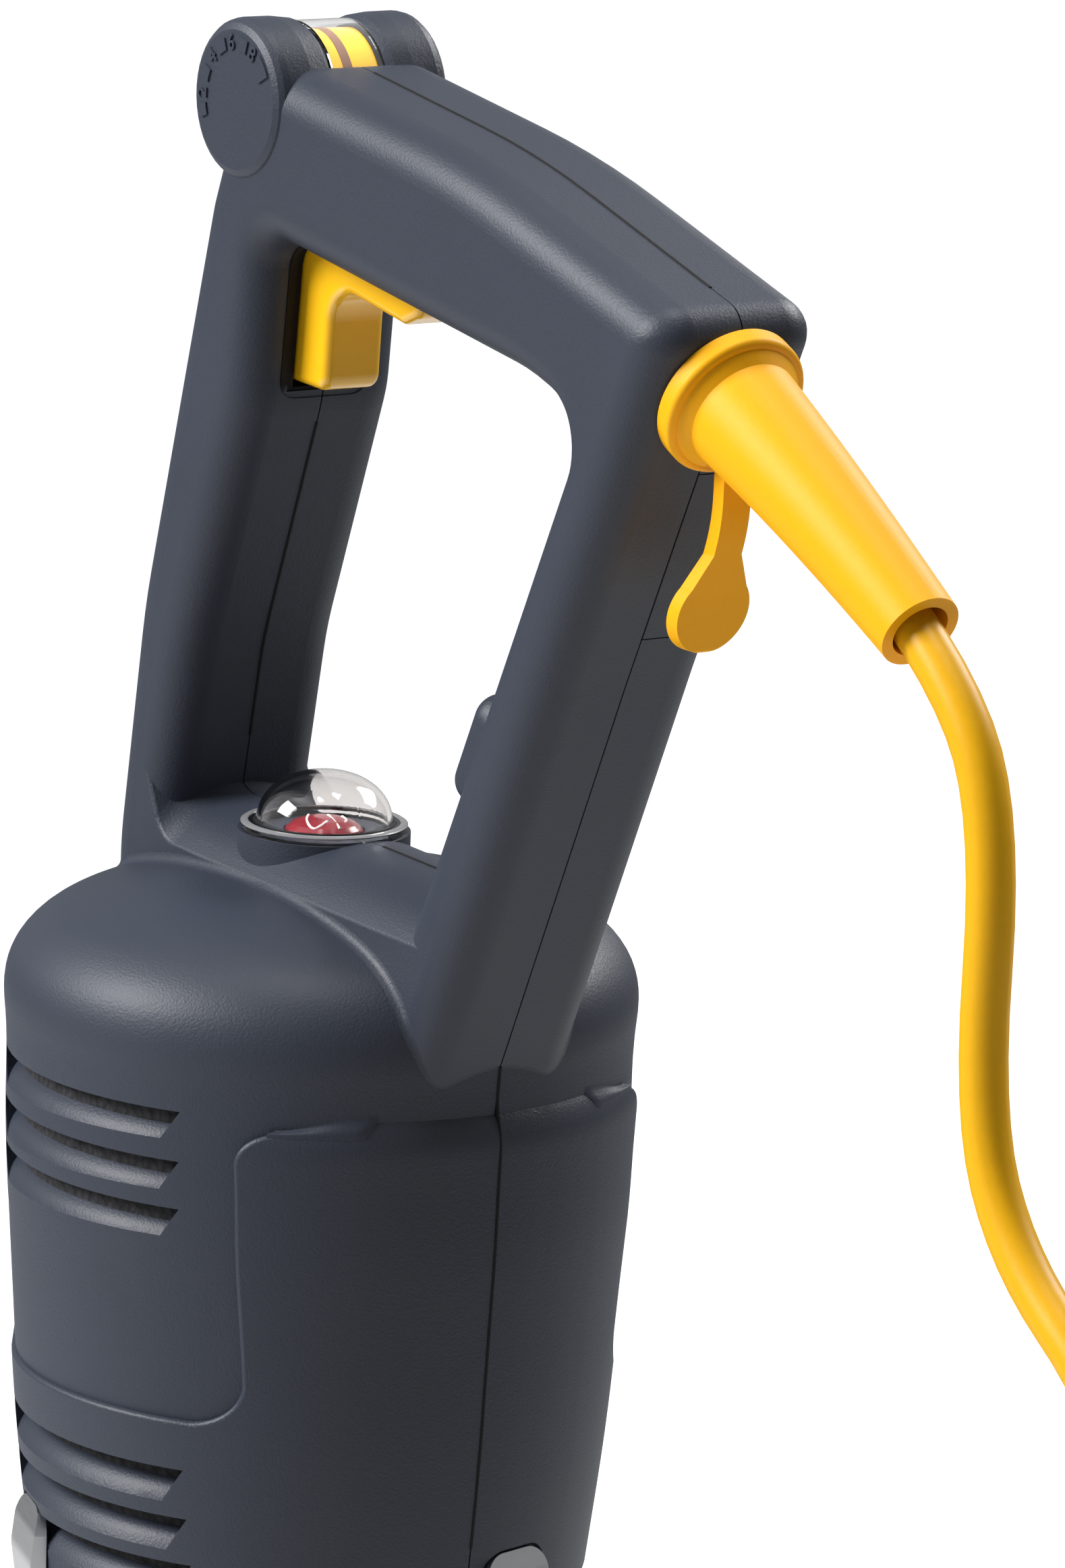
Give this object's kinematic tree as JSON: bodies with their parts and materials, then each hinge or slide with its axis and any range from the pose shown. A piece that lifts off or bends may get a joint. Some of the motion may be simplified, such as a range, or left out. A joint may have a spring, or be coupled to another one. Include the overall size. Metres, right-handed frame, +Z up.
{
  "type": "upright carpet cleaner",
  "caption": "Upright carpet cleaner: D-shaped handle with trigger, dial and power button on a round motor head, over tanks, a tilting neck and a brush floor head on wheels.",
  "frame": {"origin": "on the floor, under the middle of the machine, on the line of the tower's tilt hinge", "axes": "+X to the rear, the side the cord leaves; +Y across the machine; +Z up"},
  "size_m": [0.481, 0.31, 1.033],
  "materials": {
    "body": "fine matt grain, blue grey",
    "frame_plastic": "plain matt, near black",
    "yellow": "glossy yellow",
    "recess": "black",
    "clear": "clear moulded plastic",
    "smoke": "clear tinted plastic",
    "red": "glossy red",
    "board": "circuit board",
    "cord": "smooth yellow sheath",
    "plug": "smooth yellow moulding",
    "brass": "plain",
    "steel": "satin",
    "aluminium": "satin",
    "foam": "open cell foam",
    "ring": "satin silver",
    "duct": "plain matt",
    "belt": "black",
    "tyre": "soft black",
    "hub": "satin grey",
    "bristle": "nylon tufts"
  },
  "bodies": {
    "floor_head": {"chassis": "frame_plastic", "top_cover": "body", "nozzle": "frame_plastic", "nozzle_window": "clear", "suction_duct": "duct", "brush_motor": "steel", "drive_belt": "belt", "pump": "duct", "spray_bar": "brass", "rear_axle": "steel", "pivot_cap_left": "frame_plastic", "pivot_cap_right": "frame_plastic"},
    "tower": {"shell_left": "body", "shell_right": "body", "cable_cover": "body", "trigger_bezel": "recess", "trigger_switch": "recess", "switch_dome": "clear", "power_switch": "frame_plastic", "circuit_board": "board", "strain_relief": "yellow", "power_cord": "cord", "cord_coil": "cord", "plug_body": "plug", "plug_pins": "brass", "suction_motor": "steel", "fan_case": "frame_plastic", "exhaust_foam": "foam", "intake_foam": "foam", "bulkhead": "frame_plastic", "coupling_ring": "ring", "recovery_tank": "smoke", "inlet_tube": "duct", "float_cage": "frame_plastic", "lower_front": "body", "lower_rear": "body", "riser_duct": "duct", "pivot_hub": "frame_plastic"},
    "dial": {"dial_lens": "clear", "dial_drum": "yellow"},
    "trigger": {"trigger": "yellow"},
    "power_button": {"power_button": "red"},
    "lock_button": {"lock_button": "body"},
    "release_lever": {"release_lever": "yellow"},
    "latch_rear": {"latch_rear": "ring"},
    "latch_right": {"latch_right": "ring"},
    "latch_left": {"latch_left": "ring"},
    "impeller": {"impeller": "aluminium"},
    "float_plug": {"float_plug": "duct"},
    "clean_tank": {"clean_tank": "smoke"},
    "clean_cap": {"clean_cap": "frame_plastic"},
    "brush": {"brush_core": "duct", "brush_bristles": "bristle"},
    "motor_pulley": {"motor_pulley": "steel"},
    "wheel_left": {"wheel_left": "hub", "tyre_left": "tyre"},
    "wheel_right": {"wheel_right": "hub", "tyre_right": "tyre"},
    "tilt_pedal": {"tilt_pedal": "frame_plastic"}
  },
  "joints": [
    {"name": "tower_tilt", "type": "hinge", "parent": "floor_head", "child": "tower", "pos_m": [0, 0, 0.08], "axis": [0, 1, 0], "range_deg": [0, 50]},
    {"name": "dial_turn", "type": "hinge", "parent": "tower", "child": "dial", "pos_m": [-0.0097, 0, 1.0177], "axis": [0, 1, 0], "range_deg": [0, 270]},
    {"name": "trigger_squeeze", "type": "hinge", "parent": "tower", "child": "trigger", "pos_m": [-0.0085, 0, 0.969], "axis": [0, -1, 0], "range_deg": [0, 5], "stiffness_Nm_per_rad": 0.3, "springref_deg": -3.44},
    {"name": "power_press", "type": "slide", "parent": "tower", "child": "power_button", "axis": [0, 0, -1], "range_m": [0, 0.0015], "stiffness_N_per_m": 300, "springref_m": -0.003},
    {"name": "lock_press", "type": "slide", "parent": "tower", "child": "lock_button", "axis": [0.9051, 0, -0.4252], "range_m": [0, 0.002], "stiffness_N_per_m": 300, "springref_m": -0.002},
    {"name": "lever_swing", "type": "hinge", "parent": "tower", "child": "release_lever", "pos_m": [0.12505, 0, 0.97124], "axis": [0, 1, 0], "range_deg": [0, 17], "stiffness_Nm_per_rad": 0.02, "springref_deg": -5.73},
    {"name": "latch_rear_swing", "type": "hinge", "parent": "tower", "child": "latch_rear", "pos_m": [0.05478, 0.01164, 0.713], "axis": [-0.2079, 0.9781, 0], "range_deg": [0, 110]},
    {"name": "latch_right_swing", "type": "hinge", "parent": "tower", "child": "latch_right", "pos_m": [-0.03747, 0.04162, 0.713], "axis": [-0.7431, -0.6691, 0], "range_deg": [0, 110]},
    {"name": "latch_left_swing", "type": "hinge", "parent": "tower", "child": "latch_left", "pos_m": [-0.0173, -0.05326, 0.713], "axis": [0.9511, -0.309, 0], "range_deg": [0, 110]},
    {"name": "impeller_spin", "type": "hinge", "parent": "tower", "child": "impeller", "pos_m": [0, 0, 0.76], "axis": [0, 0, 1], "continuous": true},
    {"name": "float_rise", "type": "slide", "parent": "tower", "child": "float_plug", "axis": [0, 0, 1], "range_m": [0, 0.03]},
    {"name": "clean_tank_pull", "type": "slide", "parent": "tower", "child": "clean_tank", "axis": [-1, 0, 0], "range_m": [0, 0.08]},
    {"name": "clean_cap_turn", "type": "hinge", "parent": "clean_tank", "child": "clean_cap", "pos_m": [-0.071, 0, 0.448], "axis": [0, 0, 1], "range_deg": [0, 300]},
    {"name": "brush_spin", "type": "hinge", "parent": "floor_head", "child": "brush", "pos_m": [-0.104, 0, 0.027], "axis": [0, 1, 0], "continuous": true},
    {"name": "motor_spin", "type": "hinge", "parent": "floor_head", "child": "motor_pulley", "pos_m": [-0.043, 0.115, 0.046], "axis": [0, 1, 0], "continuous": true},
    {"name": "wheel_left_spin", "type": "hinge", "parent": "floor_head", "child": "wheel_left", "pos_m": [0.062, -0.142, 0.046], "axis": [0, 1, 0], "continuous": true},
    {"name": "wheel_right_spin", "type": "hinge", "parent": "floor_head", "child": "wheel_right", "pos_m": [0.062, 0.142, 0.046], "axis": [0, 1, 0], "continuous": true},
    {"name": "pedal_press", "type": "hinge", "parent": "floor_head", "child": "tilt_pedal", "pos_m": [0.078, 0.08, 0.0545], "axis": [0, 1, 0], "range_deg": [0, 14], "stiffness_Nm_per_rad": 1, "springref_deg": -5.73}
  ],
  "couplings": [
    {"joint": "motor_spin", "follows": "brush_spin", "ratio": 1.5}
  ]
}
